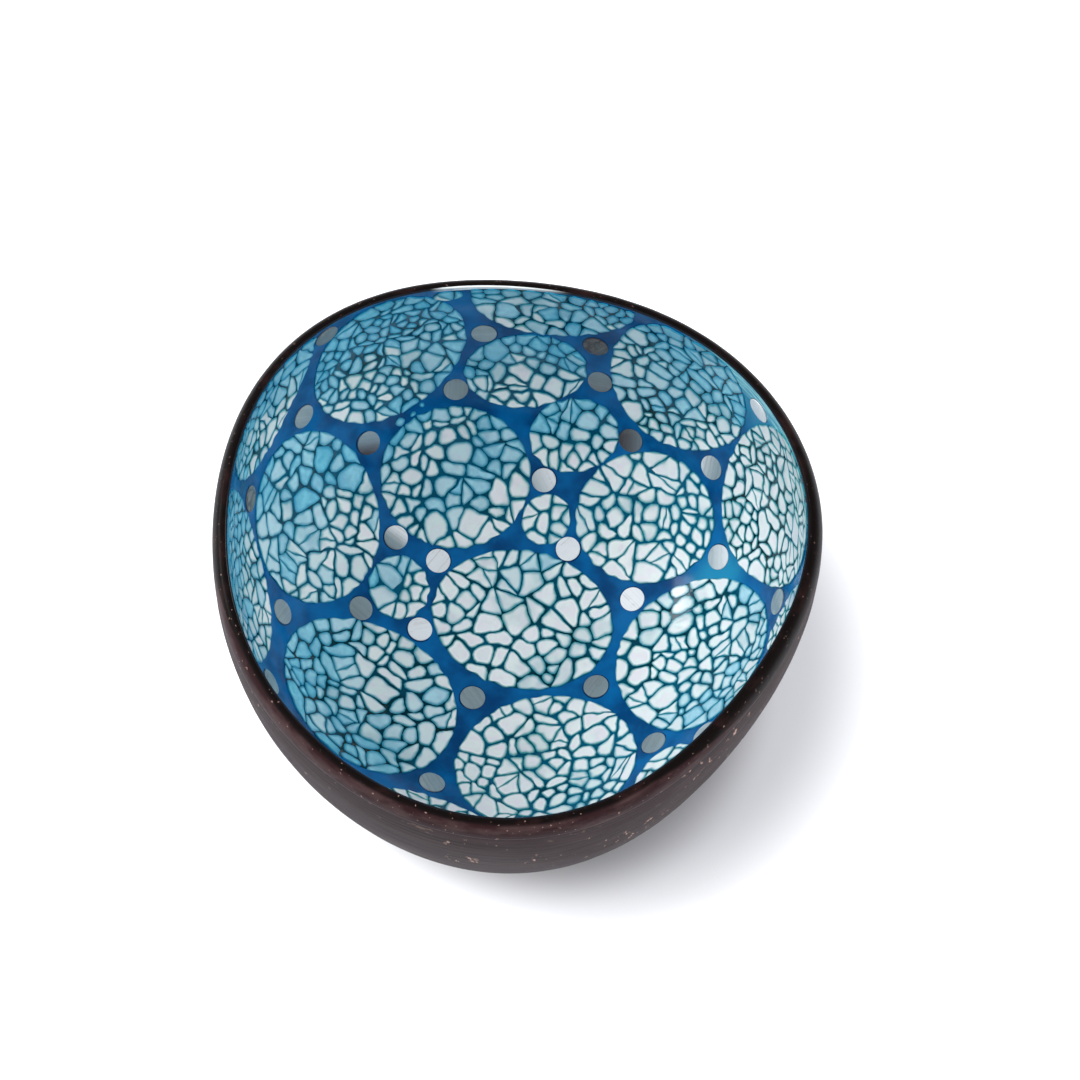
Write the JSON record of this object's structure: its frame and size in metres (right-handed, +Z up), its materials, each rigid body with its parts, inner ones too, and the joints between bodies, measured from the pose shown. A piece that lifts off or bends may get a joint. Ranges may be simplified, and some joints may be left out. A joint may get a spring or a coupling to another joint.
{
  "type": "coconut shell bowl",
  "caption": "Half coconut shell bowl with a rounded black rim, blue lacquer lining, crackled shell medallions and pearl disc inlay.",
  "frame": {"origin": "centre of the flat foot, on the surface that the bowl stands on", "axes": "+Z up through the mouth; +X to the right and +Y away as the bowl is usually shown; the three ridges of the nut lie at 19, 139 and 259 degrees from +X"},
  "size_m": [0.1273, 0.1288, 0.068],
  "materials": {
    "coconut_shell": "satin",
    "black_lacquer": "gloss",
    "blue_lacquer": "gloss",
    "crackled_shell": "gloss",
    "pearl": "gloss"
  },
  "bodies": {
    "root": {"shell": "coconut_shell", "edge_coat": "black_lacquer", "lacquer_lining": "blue_lacquer", "medallion_floor": "crackled_shell", "medallion_front": "crackled_shell", "medallion_front_left": "crackled_shell", "medallion_front_right": "crackled_shell", "medallion_left": "crackled_shell", "medallion_inner_left": "crackled_shell", "medallion_inner_right": "crackled_shell", "medallion_inner_back": "crackled_shell", "medallion_small_left": "crackled_shell", "medallion_small_back": "crackled_shell", "medallion_back": "crackled_shell", "medallion_back_left": "crackled_shell", "medallion_back_right": "crackled_shell", "medallion_right": "crackled_shell", "medallion_back_rim": "crackled_shell", "medallion_back_rim_chip": "crackled_shell", "medallion_left_back_rim": "crackled_shell", "medallion_left_rim": "crackled_shell", "medallion_left_front_rim": "crackled_shell", "medallion_front_left_rim": "crackled_shell", "medallion_front_rim": "crackled_shell", "medallion_front_right_rim": "crackled_shell", "medallion_right_front_rim": "crackled_shell", "medallion_right_rim": "crackled_shell", "pearl_discs_floor": "pearl", "pearl_discs_wall": "pearl", "pearl_discs_rim": "pearl"}
  },
  "joints": []
}
